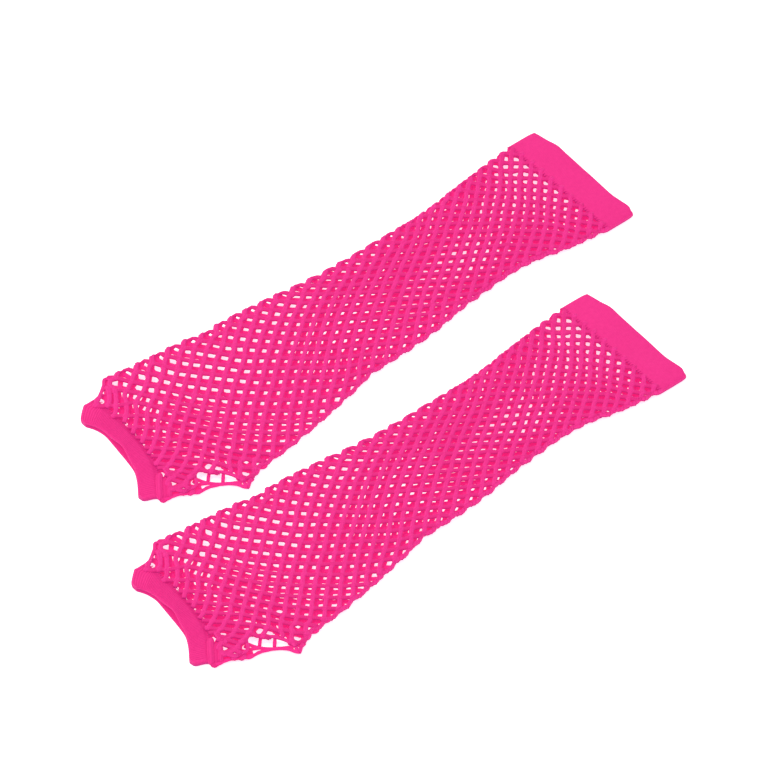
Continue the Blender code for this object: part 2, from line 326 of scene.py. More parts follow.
# The band's sewn end on the thumb side.
JOIN_STEP = 0.5
JOIN_SIDES = 12
JOIN_TIP = 0.06
JOIN_LEAST = 0.05
JOIN_FULLNESS = 2.2
JOIN_GATHER = 0.07
BAND_JOINS = (
    # places (along, across, height), width, height, place on the map (under 0: turned in, and
    # painted in shade)
    # the light bar
    (((7.5, 26.6, 3.9), (3.9, 29.8, 4.0), (0.0, 34.7, 3.7), (-2.6, 38.2, 3.0), (-5.0, 41.2, 1.9)),
     4.2, 2.8, 10.0),
    # the edge turned in beside it, painted in shade, and its lower end
    (((7.0, 30.6, 3.1), (4.2, 34.2, 3.2), (1.2, 38.3, 2.8), (-1.9, 42.3, 1.9)), 4.6, 2.2, -100.0),
    (((5.0, 38.4, 1.6), (1.2, 41.0, 1.5), (-2.6, 41.9, 1.4), (-5.2, 41.6, 1.3)), 4.4, 2.2, -100.0),
    # the net's gathered end
    (((7.4, 34.6, 3.6), (5.3, 37.0, 3.7), (2.2, 40.9, 3.4), (0.3, 43.3, 2.3)), 3.2, 2.4, 10.0),
)

# Arm cuff: its open edge, from the fold (0) to the thumb side (1).
CUFF_EDGE = (
    # share, along
    (0.00, 344.7), (0.04, 345.2), (0.10, 345.9), (0.19, 347.4), (0.30, 346.9),
    (0.50, 346.3), (0.70, 345.6), (0.80, 345.4), (0.90, 346.4), (0.96, 346.9),
    (1.00, 345.7),
)
CUFF_SEAM = 326.6
# Its fold and its thumb side, across.
CUFF_FOLD = -48.3
CUFF_THUMB = 39.3
CUFF_SPACE = 1.0
CUFF_PUFF = 0.7
CUFF_CORNER = 0.5
CUFF_STEPS = 16
CUFF_ACROSS = 70

# A flattened tube: the cloth's thickness, the steps of its turns, how straight up its
# upper flat faces at least, and the round edge of its open end (degrees).
WALL = 1.6
TURN_STEPS = 6
UPPER_FLAT = 0.99
LIP_ROUNDNESS = 0.8
LIP_RAISED = 0.7
LIP_TURNS = (75, 45, 15, -15, -45, -75)

# The knit map: how far it runs round a cord, how far apart the strands and the edge cords start on
# it, and what is added on the inner side of a cloth tube, which marks that side for painted shade.
CORD_TURN = 7.2
STRAND_MAP = 7.3
EDGE_MAP = 11.0
INNER_SIDE = 500.0

# Unevenness: its size, its reach and where its waves start. A wobble moves a thing
# aside, in millimetres, and what is uneven differs by a share.
SCALLOP_UNEVEN = (0.45, 6.0, 1.1)
CORD_WOBBLE = (0.42, 3.4, 1.3)
CORD_UNEVEN = (0.09, 2.6, 2.2)
KNOT_UNEVEN = (0.10, 2.1, 5.5)
EDGE_WOBBLE = (0.12, 3.0, 6.1)
EDGE_UNEVEN = (0.10, 1.6, 0.4)
SEAM_WOBBLE = (0.25, 4.0, 3.7)
SEAM_UNEVEN = (0.08, 1.8, 7.2)
BAND_CREASE = (0.16, 7.0, 9.3)
CUFF_CREASE = (0.25, 11.0, 2.9)

# No cloth reaches lower than this above the floor.
LOWEST = 0.02

# Colours (linear). A part of the cloth's light is a painted glow, which doesn't depend on the
# lamps.
PINK = (0.58, 0.019, 0.145)
CORD_PINK = (0.59, 0.026, 0.185)
# The deep pink serves both random mottling and painted shade in grooves and hollows.
MOTTLE_AND_SHADE_PINK = (0.46, 0.008, 0.095)
# Painted shade on surfaces that face sideways.
PAINTED_RIM_SHADE_PINK = (0.10, 0.003, 0.070)
# The net's lower layer is painted redder, as if lit by light bounced off the layer above it, up to
# these heights (metres).
PAINTED_BOUNCE_PINK = (0.78, 0.013, 0.150)
LOW_LAYER_TOP = (0.0022, 0.0034)
# How far up a surface faces where it gets painted rim shade and where it does not, and where it is
# underside, which gets none.
RIM_FACING = (-0.4, 0.25)
UNDER_FACING = (-0.95, -0.75)
# Painted glow: light the cloth gives off itself, though it is no lamp, which lifts its shade
# everywhere.
PAINTED_GLOW_PINK = (0.92, 0.027, 0.325)
PAINTED_GLOW_STRENGTH = 0.42

# Knit: the relief of its stitches and fuzz, and the parts of the deep colour in it: random
# mottling, and painted shade in grooves, inside tubes and at tucks.
LOOP_HEIGHT = 0.35
LOOP_MIDDLE = 0.5
GROOVE_POWER = 3.0
FUZZ_HEIGHT = 0.5
FUZZ_NOISE = (2600.0, 3.0)
FUZZ_RANGE = (0.3, 0.7)
BUMP_STRENGTH = 0.8
ROUGH_SPREAD = 0.08
MOTTLING = (
    # scale, detail, none_at, all_at, part
    (55.0, 2.0, 0.35, 0.65, 0.15),
    (420.0, 2.0, 0.3, 0.7, 0.35),
    (1100.0, 1.0, 0.35, 0.65, 0.2),
)
# Painted shade in the stitches' grooves, between wales, and inside the tubes and turned-in edges.
PAINTED_STITCH_SHADE = 0.4
PAINTED_WALE_SHADE = 0.15
WALE_EDGE = (0.2, 0.5)
PAINTED_TURNED_IN_SHADE = 0.9
TUCK_BLUR = 0.8
INNER_FROM = (0.8 * INNER_SIDE, 0.9 * INNER_SIDE)
KNIT_FINISH = (
    ("Specular IOR Level", 0.25),
    ("Sheen Weight", 0.12),
    ("Sheen Roughness", 0.5),
    ("Sheen Tint", (1.0, 0.30, 0.62)),
    # The painted glow, given off by the cloth though it is no lamp.
    ("Emission Color", PAINTED_GLOW_PINK),
    ("Emission Strength", PAINTED_GLOW_STRENGTH),
)

# Floor (metres)
FLOOR_HALF = 4.0
PAPER_FINISH = (
    ("Base Color", (0.93, 0.93, 0.93)),
    ("Roughness", 0.9),
    ("Specular IOR Level", 0.0),
    ("Emission Color", (1.0, 1.0, 1.0)),
    ("Emission Strength", 0.62),
)

# Camera and light (metres, watts)
AIM = Vector((0.01377, 0.01400, 0.0023))
AZIMUTH = math.radians(-40.0)
ELEVATION = math.radians(45.0)
DISTANCE = 18.0
SENSOR_WIDTH = 36.0
# How near and how far the camera sees.
SEEN = (0.1, 1000.0)
VIEW_WIDTH = 0.4332
SKY_STRENGTH = 0.62
LAMPS = (
    # name, place, size, power
    ("key_light", (-0.9, 0.9, 1.6), 1.2, 25.0),
    ("fill_light", (1.2, -1.4, 1.4), 1.6, 7.0),
)


def read_smooth(rows, place, column=1):
    """The value of a table's column at places between its rows, on a smooth curve."""
    table = np.array(rows, float)
    at, values = table[:, 0], table[:, column]
    steep = np.diff(values) / np.diff(at)
    slope = np.r_[steep[0], (values[2:] - values[:-2]) / (at[2:] - at[:-2]), steep[-1]]
    place = np.clip(place, at[0], at[-1])
    i = np.clip(np.searchsorted(at, place, side="right") - 1, 0, len(at) - 2)
    span = at[i + 1] - at[i]
    share = (place - at[i]) / span
    square, cube = share ** 2, share ** 3
    start = (2 * cube - 3 * square + 1) * values[i]
    end = (3 * square - 2 * cube) * values[i + 1]
    leave = (cube - 2 * square + share) * span * slope[i]
    arrive = (cube - square) * span * slope[i + 1]
    return start + end + leave + arrive


def soft_step(value):
    """0 up to 0, 1 from 1 on, and a soft rise between."""
    value = np.clip(value, 0, 1)
    return value * value * (3 - 2 * value)


def edge_fade(share):
    """0 at the two edges of a layer and 1 over its middle."""
    share = np.clip(share, 0.0, 1.0)
    return np.minimum(1.0, FADE_RATE * share * (1 - share)) ** FADE_POWER


def soft_noise(along, across, kind, shift=0.0):
    """Smooth unevenness over the plan: kind is its size, its reach and its waves' start.

    The waves' own numbers only have to be unlike each other.
    """
    size, reach, start = kind
    start = start + shift
    a, b = along / reach, across / reach
    wave = np.sin(a * 1.7 + start) * np.cos(b * 1.3 - 2.1 * start)
    wave += 0.6 * np.sin(a * 3.1 - b * 2.3 + 1.9 * start)
    wave += 0.4 * np.cos(a * 5.3 + b * 4.7 + 0.7 * start)
    return size * wave / 2.0


def net_lay(row, column):
    """How far along the glove places of the net lie, and at which share of its width.

    The share is 0 at the fold and 1 at the thumb edge. Over the fold the two layers'
    tables join smoothly, and the share changes its sign there.
    """
    top = column < 0
    x = np.abs(column) / np.where(top, TOP_COLUMNS, UNDER_COLUMNS)
    # The curve through the values at the fold, one third, two thirds and the thumb edge.
    spread = (
        (1 - 3 * x) * (2 - 3 * x) * (1 - x) / 2,
        9 * x * (2 - 3 * x) * (1 - x) / 2,
        9 * x * (3 * x - 1) * (1 - x) / 2,
        x * (3 * x - 1) * (3 * x - 2) / 2,
    )
    values = []
    for first, sign in ((1, 1.0), (5, -1.0)):
        above, below = (
            [read_smooth(lay, row, first + i) for i in range(4)] for lay in (TOP_LAY, UNDER_LAY)
        )
        here = [np.where(top, high, low) for high, low in zip(above, below)]
        joint = (above[0] + sign * below[0]) / 2 * np.where(top, 1.0, sign)
        joined = (joint - here[0]) * soft_step(1 - np.abs(column) / FOLD_BLEND)
        values.append(sum(part * value for part, value in zip(spread, here)) + joined)
    along, share = values
    return along + FOLD_SHIFT * soft_step(1 - np.abs(column) / SHIFT_REACH), share


def scallop_depth(row, column, along):
    """How far the net stands out beyond its folded edge, in scallops a row long."""
    wobble = soft_noise(along, 0 * along, SCALLOP_UNEVEN)
    depth = read_smooth(FOLD_SCALLOPS, along) * (1 + wobble)
    outline = read_smooth(SCALLOP_SHAPE, np.mod(row, 1.0))
    return soft_step(1 - np.abs(column) / SCALLOP_REACH) * outline * depth


def net_place(row, column):
    """Places of the net's middle surface and the ways out of it.

    Columns run from the fold, below zero in the upper layer and above it in the lower one.
    """
    along, share = net_lay(row, column)
    radius = (TOP_HEIGHT - UNDER_HEIGHT) / 2
    quarter = math.pi / 2 * radius
    fold = read_smooth(FOLD_EDGE, along) + EDGE_INSET
    thumb = read_smooth(THUMB_EDGE, along) - EDGE_INSET
    spread = read_smooth(THUMB_SPREAD, along) - EDGE_INSET
    flat = thumb - fold - 2 * radius
    corner = (thumb - spread) * np.clip(share, 0, CORNER_END) ** CORNER_PULL
    reach = share * (spread - fold - 2 * radius + 2 * quarter) + corner
    side = np.where(column < 0, 1.0, -1.0) * np.where(reach < 0, -1.0, 1.0)
    reach = np.abs(reach)
    # The layer turns up at the fold, runs level, and turns down again at the thumb edge.
    near = np.clip(reach / radius, 0, math.pi / 2)
    level = np.clip(reach - quarter, 0, flat)
    far = np.clip((reach - quarter - flat) / radius, 0, math.pi / 2)
    across = fold - scallop_depth(row, column, along)
    across = across + radius * (1 - np.cos(near)) + level + radius * np.sin(far)
    rise = side * np.sin(near) * np.cos(far)
    swell = edge_fade(share) * (NET_PUFF + wave_height(row, share))
    height = UNDER_HEIGHT + radius + radius * rise + np.where(side > 0, swell, 0.0)
    out = np.stack([np.zeros_like(along), np.sin(far) - np.cos(near), rise], -1)
    return np.stack([along, across, height], -1), unit(out)


def unit(ways):
    """Ways made one long, and left alone where they are nothing."""
    return ways / np.maximum(np.linalg.norm(ways, axis=-1, keepdims=True), 1e-9)


def wave_height(row, share):
    """How far the upper layer's shallow waves rise at a place."""
    total = 0.0
    for middle_row, middle_share, rows_long, share_wide, height in WAVES:
        off = ((row - middle_row) / rows_long) ** 2 + ((share - middle_share) / share_wide) ** 2
        total = total + height * np.exp(-off)
    return total


def in_net(row, column):
    """Whether places are inside the net's edges, its cut at the thumb slit included."""
    places, _ = net_place(row, column)
    along, across = places[..., 0], places[..., 1]
    slit_end = SLIT_LIP[-1][0]
    lip = np.where(along < slit_end, read_smooth(SLIT_LIP, along), np.inf)
    under_along = along - UNDER_LIP_OFF[0]
    under_lip = read_smooth(SLIT_LIP, under_along) + UNDER_LIP_OFF[1]
    under_open = (along > UNDER_SLIT_START) & (under_along < slit_end)
    under_lip = np.where(under_open, under_lip, np.inf)
    cut = across > np.where(column < 0, lip, under_lip)
    after_band = along > read_smooth(NET_START, across)
    in_width = net_lay(row, column)[1] <= NET_SHARE_END
    return after_band & (along < NET_END) & in_width & ~cut


def opened(points, top):
    """Strand places moved aside where a cell of the net stands wide open."""
    plan = points[:, :2].copy()
    for along, across, reach in OPEN_CELLS:
        middle = top[:, None] * OPEN_UPPER + (along, across)
        off = plan - middle
        far = np.maximum(np.linalg.norm(off, axis=1), 0.05)
        edge = reach + CORD_WIDTH / 2
        outer = edge * OPEN_SPREAD
        wanted = edge + far * (outer - edge) / outer
        plan = middle + off * np.where(far < outer, wanted / far, 1.0)[:, None]
    return np.concatenate([plan, points[:, 2:]], 1)


def uneven(points, kind, shift=0.0):
    """Points moved aside a little, unevenly, as soft cord lies."""
    along, across = points[:, 0], points[:, 1]
    size, reach, start = kind
    aside = (size, reach * 0.9, start + 2.8)
    moved = points.copy()
    moved[:, 0] += soft_noise(along, across, kind, shift)
    moved[:, 1] += soft_noise(along, across, aside, shift)
    return moved


def laid(points, column):
    """The net's places as they lie: moved aside at open cells, and a little uneven."""
    points = opened(points, column < 0)
    return uneven(points, CORD_WOBBLE, np.tanh(2 * column))


def swollen(points, kind, shift=0.0):
    """Uneven widths along a cord, as shares of its even width."""
    return 1 + soft_noise(points[:, 0], points[:, 1], kind, shift)


def strand_runs():
    """Every strand of the net as its lean, rows and columns, cut at the net's edges."""
    runs = []
    step = HALF_ROW / CORD_STEPS
    count = int(STRAND_ROWS / step)
    for lean, start in ((1.0, RISING_START), (-1.0, FALLING_START)):
        for index in range(FIRST_STRAND, LAST_STRAND + 1):
            # The strand starts at a knot, and whole steps lead from knot to knot.
            lowest = (lean * np.array([-count // 2, count // 2]) * step).min() + index + start
            first = math.ceil(lowest / HALF_ROW) * HALF_ROW
            row = first + np.arange(count) * step
            column = lean * (row - index - start)
            order = np.argsort(column)
            row, column = row[order], column[order]
            inside = in_net(row, column) & (np.abs(column) < COLUMN_LIMIT)
            edges = np.flatnonzero(np.diff(np.r_[False, inside, False].astype(int)))
            for low, high in zip(edges[::2], edges[1::2]):
                if high - low > 2:
                    runs.append((lean, row[low:high], column[low:high]))
    return runs


class Shape:
    """Corners, faces and knit map of one piece, in millimetres along, across and up."""

    def __init__(self):
        self.corners, self.faces, self.maps = [], [], []

    def add_grid(self, rings, turn_map, starts, ends, closed_ends):
        """Adds quads between closed rings and returns the number of the first corner.

        starts and ends are each step's places on the map. closed_ends joins the last ring
        to the first.
        """
        total, count = rings.shape[:2]
        base = len(self.corners)
        self.corners.extend(rings.reshape(-1, 3).tolist())
        steps = total if closed_ends else total - 1
        i, k = (grid.ravel() for grid in np.meshgrid(range(steps), range(count), indexing="ij"))
        here = base + i * count
        there = base + (i + 1) % total * count
        beside = (k + 1) % count
        faces = np.stack([here + k, there + k, there + beside, here + beside], -1)
        self.faces.extend(faces.tolist())
        corners = ((k, starts), (k, ends), (k + 1, ends), (k + 1, starts))
        maps = np.stack([np.stack([turn_map[turn], at[i]], -1) for turn, at in corners], 1)
        self.maps.extend(maps.tolist())
        return base

    def add_cord(self, rings, lengths):
        """Adds a closed cord: rings, the length along it at each, and a cap at both ends."""
        total, sides = rings.shape[:2]
        turn_map = np.arange(sides + 1) / sides * CORD_TURN
        base = self.add_grid(rings, turn_map, lengths[:-1], lengths[1:], False)
        for ring, order in ((0, range(sides)), (total - 1, range(sides - 1, -1, -1))):
            self.faces.append([base + ring * sides + k for k in order])
            self.maps.append([[turn_map[k], lengths[ring]] for k in order])


def run_length(points):
    """The length run at each of the points."""
    steps = np.linalg.norm(np.diff(points, axis=0), axis=1)
    return np.concatenate([[0.0], np.cumsum(steps)])


def on_line(line, run, at):
    """Points of a line at lengths along it, where run is the line's own lengths."""
    return np.stack([np.interp(at, run, line[:, k]) for k in range(3)], -1)


def smooth_route(places, step):
    """Points a step apart on a smooth curve through the places."""
    places = np.array(places, float)
    run = run_length(places)
    rows = np.column_stack([run, places])
    at = np.linspace(0, run[-1], max(3, round(run[-1] / step) + 1))
    return np.stack([read_smooth(rows, at, k) for k in range(1, places.shape[1] + 1)], -1)


def sweep(shape, points, outs, wide, high, sides=CORD_SIDES, length_at=0.0):
    """Adds a closed cord along points: outs are the ways up from the cloth it lies in."""
    ahead = unit(np.gradient(points, axis=0))
    up = unit(outs - (outs * ahead).sum(1, keepdims=True) * ahead)
    side = np.cross(ahead, up)
    turn = (np.arange(sides) * 2 * math.pi / sides)[:, None]
    wide, high = (np.broadcast_to(size, len(points))[:, None, None] / 2 for size in (wide, high))
    around = side[:, None] * np.cos(turn) * wide + up[:, None] * np.sin(turn) * high
    shape.add_cord(points[:, None] + around, run_length(points) + length_at)


def build_net():
    """The diamond net: every strand of both layers, one closed cord for each run."""
    shape = Shape()
    for number, (lean, row, column) in enumerate(strand_runs()):
        points, outs = net_place(row, column)
        points = laid(points, column)
        # Strands pass over and under each other by turns where they cross.
        half_rows = np.round(row / HALF_ROW)
        knot_near = np.clip(1 - np.abs(row - half_rows * HALF_ROW) / (HALF_ROW / 2), 0, 1)
        over = np.where(half_rows % 2 < 1, 1.0, -1.0) * lean
        points = points + outs * (KNOT_RISE * over * knot_near ** 1.5)[:, None]
        swell = swollen(points, CORD_UNEVEN, lean) + KNOT_SWELL * knot_near ** 2
        swell = swell + FOLD_SWELL * np.clip(1 - np.abs(column), 0, 1)
        high = CORD_HEIGHT * (1 + (swell - 1) / 2)
        points[:, 2] = np.maximum(points[:, 2], high / 2)
        sweep(shape, points, outs, CORD_WIDTH * swell, high, length_at=number * STRAND_MAP)
    return shape


def knot_places():
    """Rows and columns of the places where two strands of the net meet."""
    numbers = range(FIRST_STRAND - 1, LAST_STRAND + 2)
    rising, falling = np.meshgrid(numbers, numbers, indexing="ij")
    row = ((rising + falling + RISING_START + FALLING_START) / 2).ravel()
    column = ((falling - rising + FALLING_START - RISING_START) / 2).ravel()
    first_row, last_row = TOP_LAY[0][0], TOP_LAY[-1][0]
    inside = (np.abs(column) < COLUMN_LIMIT) & (row > first_row) & (row < last_row)
    row, column = row[inside], column[inside]
    inside = in_net(row, column)
    return row[inside], column[inside]


def build_knots():
    """The knots where the strands meet, each a rounded lump a little longer than wide."""
    row, column = knot_places()
    points, outs = net_place(row, column)
    points = laid(points, column)
    beyond, before = (net_place(row + off, column)[0] for off in (KNOT_PROBE, -KNOT_PROBE))
    ahead = beyond - before
    ahead = unit(ahead - (ahead * outs).sum(1, keepdims=True) * outs)
    side = np.cross(ahead, outs)
    size = swollen(points, KNOT_UNEVEN)
    rise = (np.arange(1, KNOT_RINGS) * math.pi / KNOT_RINGS)[:, None, None]
    turn = (np.arange(KNOT_SIDES) * 2 * math.pi / KNOT_SIDES)[:, None]
    lengths = np.arange(KNOT_RINGS - 1) / (KNOT_RINGS - 2) * KNOT_SIZE[0]
    shape = Shape()
    for i in range(len(row)):
        half_long, half_wide, half_high = (whole / 2 * size[i] for whole in KNOT_SIZE)
        middle = points[i] + UP * max(0.0, half_high - points[i][2])
        around = np.cos(turn) * half_wide * side[i] + np.sin(turn) * half_high * outs[i]
        along = -np.cos(rise) * half_long * ahead[i]
        shape.add_cord(middle + along + np.sin(rise) ** KNOT_FULLNESS * around, lengths)
    return shape


def seam_points():
    """The sewn thumb side from the slit's corner to the arm cuff, with its small puckers."""
    along = np.arange(SEAM_START, CUFF_SEAM + SEAM_PAST, SEAM_STEP)
    rows = np.linspace(*SEAM_ROWS)
    row = np.interp(along, net_lay(rows, np.full(len(rows), -TOP_COLUMNS))[0], rows)
    grown = np.clip((along - SEAM_START) / SEAM_GROWTH, 0, 1)
    bumps = 2 * np.abs(np.cos(math.pi * (row - 0.5))) ** 1.5 - 1
    across = read_smooth(THUMB_EDGE, along) - SEAM_WIDTH / 2
    across = across + SEAM_PUCKER * grown * bumps + soft_noise(along, across * 0, SEAM_WOBBLE)
    height = np.full(len(along), (UNDER_HEIGHT + TOP_HEIGHT) / 2 + SEAM_LIFT)
    start = SEAM_RISE
    height[:start] = np.linspace(EDGE_CORDS[0][-1][2], height[start], start)
    return np.stack([along, across, height], -1)


def build_edges():
    """The cords round the thumb slit and the folded corner, and the side seam."""
    shape = Shape()
    for number, places in enumerate(EDGE_CORDS):
        points = uneven(smooth_route(places, EDGE_STEP), EDGE_WOBBLE, number)
        swell = swollen(points, EDGE_UNEVEN, number)
        sweep(shape, points, UP, EDGE_WIDTH * swell, EDGE_HEIGHT * swell,
              sides=EDGE_SIDES, length_at=number * EDGE_MAP)
    points = seam_points()
    swell = swollen(points, SEAM_UNEVEN)
    sweep(shape, points, UP, SEAM_WIDTH * swell, SEAM_HEIGHT * swell,
          sides=EDGE_SIDES)
    return shape


def build_seam_thread():
    """The thread that winds round the side seam, and the stitches of the two ring seams."""
    shape = Shape()
    seam = seam_points()[2:-2]
    run = run_length(seam)
    at = np.arange(0, run[-1], OVERCAST_PITCH / OVERCAST_POINTS)
    thread = on_line(seam, run, at)
    angle = at / OVERCAST_PITCH * 2 * math.pi
    reach = 1.0 + SLACK * np.sin(angle * SLACK_RATE)
    thread[:, 1] += np.cos(angle) * reach * SEAM_WIDTH / 2
    thread[:, 2] += np.sin(angle) * reach * SEAM_HEIGHT / 2
    outs = np.stack([np.zeros_like(angle), np.cos(angle), np.sin(angle)], -1)
    sweep(shape, thread, outs, THREAD_WIDTH, THREAD_WIDTH, sides=THREAD_SIDES)
    for line in (band_middle(1.0)[0], cuff_middle(0.0)[0]):
        add_ring_stitches(shape, line)
    return shape


def add_ring_stitches(shape, line):
    """Slanted stitches a pitch apart along a seam line, over its upper layer."""
    run = run_length(line)
    half = STITCH_LENGTH / 2
    for at in np.arange(STITCH_PITCH / 2, run[-1], STITCH_PITCH):
        middle = on_line(line, run, at)
        if middle[2] <= WALL + BAND_SPACE:
            continue
        points = np.array([
            middle + (share * half, share * half * STITCH_LEAN, STITCH_LIFT + lift)
            for share, lift in STITCH_SHAPE
        ])
        sweep(shape, points, UP, STITCH_WIDTH, THREAD_WIDTH, sides=THREAD_SIDES)


def ring_shares(across_steps):
    """Places round a flattened tube as their share across, and the ways out of the tube."""
    flat = np.arange(across_steps + 1) / across_steps
    turn = (np.arange(1, TURN_STEPS) / TURN_STEPS - 0.5) * math.pi
    share = np.r_[1 - flat, np.zeros(len(turn)), flat, np.ones(len(turn))]
    under = np.full(len(flat), -math.pi / 2)
    angle = np.r_[under, turn, -under, -turn]
    outs = np.stack([np.zeros_like(share), (2 * share - 1) * np.cos(angle), np.sin(angle)], -1)
    return share, outs


def band_plan(share, step):
    """The knuckle band seen from above, its two ends drawn to their own tables."""
    mouth, seam = ([read_smooth(BAND_EDGES, share, k) for k in pair] for pair in ((1, 2), (3, 4)))
    plan = [mouth[k] * (1 - step) + seam[k] * step for k in (0, 1)]
    ends = ((BAND_EDGES[0], BAND_FOLD_END, share), (BAND_EDGES[-1], BAND_THUMB_END, 1 - share))
    for edge, rows, near in ends:
        pull = np.clip(1 - near / BAND_END_REACH, 0, 1) ** 1.5
        for k in (0, 1):
            straight = edge[k + 1] * (1 - step) + edge[k + 3] * step
            plan[k] = plan[k] + pull * (read_smooth(rows, step, k + 1) - straight)
    along, across = plan
    # The outline is the wall's outer side, so its middle lies half a wall inside it.
    return along, across - WALL / 2 * (2 * share - 1) ** 5


def band_middle(step):
    """The knuckle band's middle surface at one step from its mouth (0) to its seam (1)."""
    share, outs = ring_shares(BAND_RIBS * RIB_POINTS)
    radius = (WALL + BAND_SPACE) / 2
    along, across = band_plan(share, step)
    across = across + radius * (1 - 2 * share + outs[:, 1])
    open_here = np.exp(-((share - BAND_OPEN_SHARE) / BAND_OPEN_REACH) ** 2) * (1 - step) ** 2
    arch = np.sin(math.pi * np.clip(step * (1 - BAND_ARCH) + BAND_ARCH, 0, 1))
    crown = BAND_PUFF * (BAND_CROWN + (1 - BAND_CROWN) * arch)
    dip = BAND_SEAM_DIP * np.clip((step - BAND_DIP_START) / BAND_DIP_REACH, 0, 1) ** 2
    creases = soft_noise(along * 0.5, across, BAND_CREASE)
    lift = edge_fade(share) * (crown - dip + creases) + open_here * BAND_MOUTH_LIFT
    top = outs[:, 2] > UPPER_FLAT
    height = WALL / 2 + radius + radius * outs[:, 2] + np.where(top, lift, 0.0)
    along = along + np.where(top, open_here * BAND_MOUTH_BACK, 0.0)
    return np.stack([along, across, height], -1), outs


def cuff_middle(step):
    """The arm cuff's middle surface at one step from its seam (0) to its open edge (1)."""
    share, outs = ring_shares(CUFF_ACROSS)
    radius = (WALL + CUFF_SPACE) / 2
    corner = CUFF_CORNER * step ** 8
    fold = CUFF_FOLD + WALL / 2 + corner
    thumb = CUFF_THUMB - WALL / 2 - corner
    across = fold + radius + share * (thumb - fold - 2 * radius) + radius * outs[:, 1]
    along = CUFF_SEAM + (read_smooth(CUFF_EDGE, share) - CUFF_SEAM) * step
    swell = edge_fade(share) * (CUFF_PUFF + soft_noise(along, across, CUFF_CREASE))
    swell = np.where(outs[:, 2] > UPPER_FLAT, swell, 0.0)
    height = WALL / 2 + radius + radius * outs[:, 2] + swell
    return np.stack([along, across, height], -1), outs


def folded_wall(middle_at, steps, raised):
    """Rings of a cloth tube: along its outer side, round its open edge and back inside.

    middle_at gives the middle surface from the open edge (0) to the seam (1), and raised
    is how far the outer side stands out at each place round it.
    """
    half = WALL / 2
    rounds, inner = [], []
    for i in range(steps, 0, -1):
        middle, out = middle_at(i / steps)
        rounds.append(middle + out * (half + raised)[:, None])
        inner.append(middle - out * half)
    lip, out = middle_at(0.0)
    back = unit(lip - middle_at(1.0 / steps)[0])
    for degrees in LIP_TURNS:
        bend = math.radians(degrees)
        size = half + raised * (LIP_RAISED if degrees > 0 else 0.0)
        rise = math.sin(bend) * size[:, None]
        rounds.append(lip + out * rise + back * math.cos(bend) * half * LIP_ROUNDNESS)
    return np.array(rounds + inner[::-1])


def tube_wall(rings, around):
    """A cloth tube. Its knit map runs round it (around) and from seam to seam."""
    shape = Shape()
    down = run_length(rings[:, rings.shape[1] // 3])
    first_inner = (len(rings) - len(LIP_TURNS)) // 2 + len(LIP_TURNS) // 3
    inner = (np.arange(len(rings)) >= first_inner) * INNER_SIDE
    shape.add_grid(rings, around, down + inner, np.append(down[1:], down[-1] + 1.0) + inner, True)
    return shape


def build_band():
    """The knuckle band: a ribbed tube with an open mouth."""
    count = 2 * BAND_RIBS * RIB_POINTS + 2 * TURN_STEPS
    rib = np.abs(np.cos(np.arange(count) * math.pi / RIB_POINTS))
    raised = RIB_DEPTH * (rib - RIB_MIDDLE)
    rings = folded_wall(band_middle, BAND_STEPS, raised)
    ribs_passed = np.arange(count + 1) / RIB_POINTS + 0.5
    return tube_wall(rings, ribs_passed * RIB_WALE)


def build_cuff():
    """The arm cuff: a smooth tube, its open edge away from the net."""
    rings = folded_wall(lambda step: cuff_middle(1 - step), CUFF_STEPS, np.zeros(1))
    quarter_ring = rings[len(rings) // 4]
    return tube_wall(rings, run_length(np.concatenate([quarter_ring, quarter_ring[:1]])))


def build_band_joins():
    """The band's sewn end: a raised bar and the turned-in edge beside it."""
    shape = Shape()
    for places, wide, high, map_start in BAND_JOINS:
        points = smooth_route(places, JOIN_STEP)
        count = len(points)
        bulge = np.sin(np.linspace(JOIN_TIP, math.pi - JOIN_TIP, count)) * JOIN_FULLNESS
        ends = np.sqrt(np.clip(bulge, JOIN_LEAST, 1.0))
        gathers = 1 + JOIN_GATHER * np.cos(np.arange(count) * math.pi)
        sweep(shape, points, UP, wide * ends * gathers, high * ends,
              sides=JOIN_SIDES, length_at=map_start)
    return shape


def add_item(name, data):
    """A new object in the scene."""
    item = bpy.data.objects.new(name, data)
    bpy.context.scene.collection.objects.link(item)
    return item


def make_piece(name, shape, material, along, across):
    """A mesh piece of one glove, put in the frame and riding on it."""
    places = np.array(shape.corners, float)
    placed = np.stack([
        places[:, 0] + along,
        -(places[:, 1] + across),
        np.maximum(places[:, 2], LOWEST),
    ], -1) * MM
    mesh = bpy.data.meshes.new(name)
    mesh.from_pydata(placed.tolist(), [], [face[::-1] for face in shape.faces])
    layer = mesh.uv_layers.new(name="knit")
    flat = [value for face in shape.maps for corner in face[::-1] for value in corner]
    layer.data.foreach_set("uv", np.array(flat, np.float32))
    mesh.shade_smooth()
    mesh.materials.append(material)
    mesh.update()
    item = add_item(name, mesh)
    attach(item, "root")
    return item


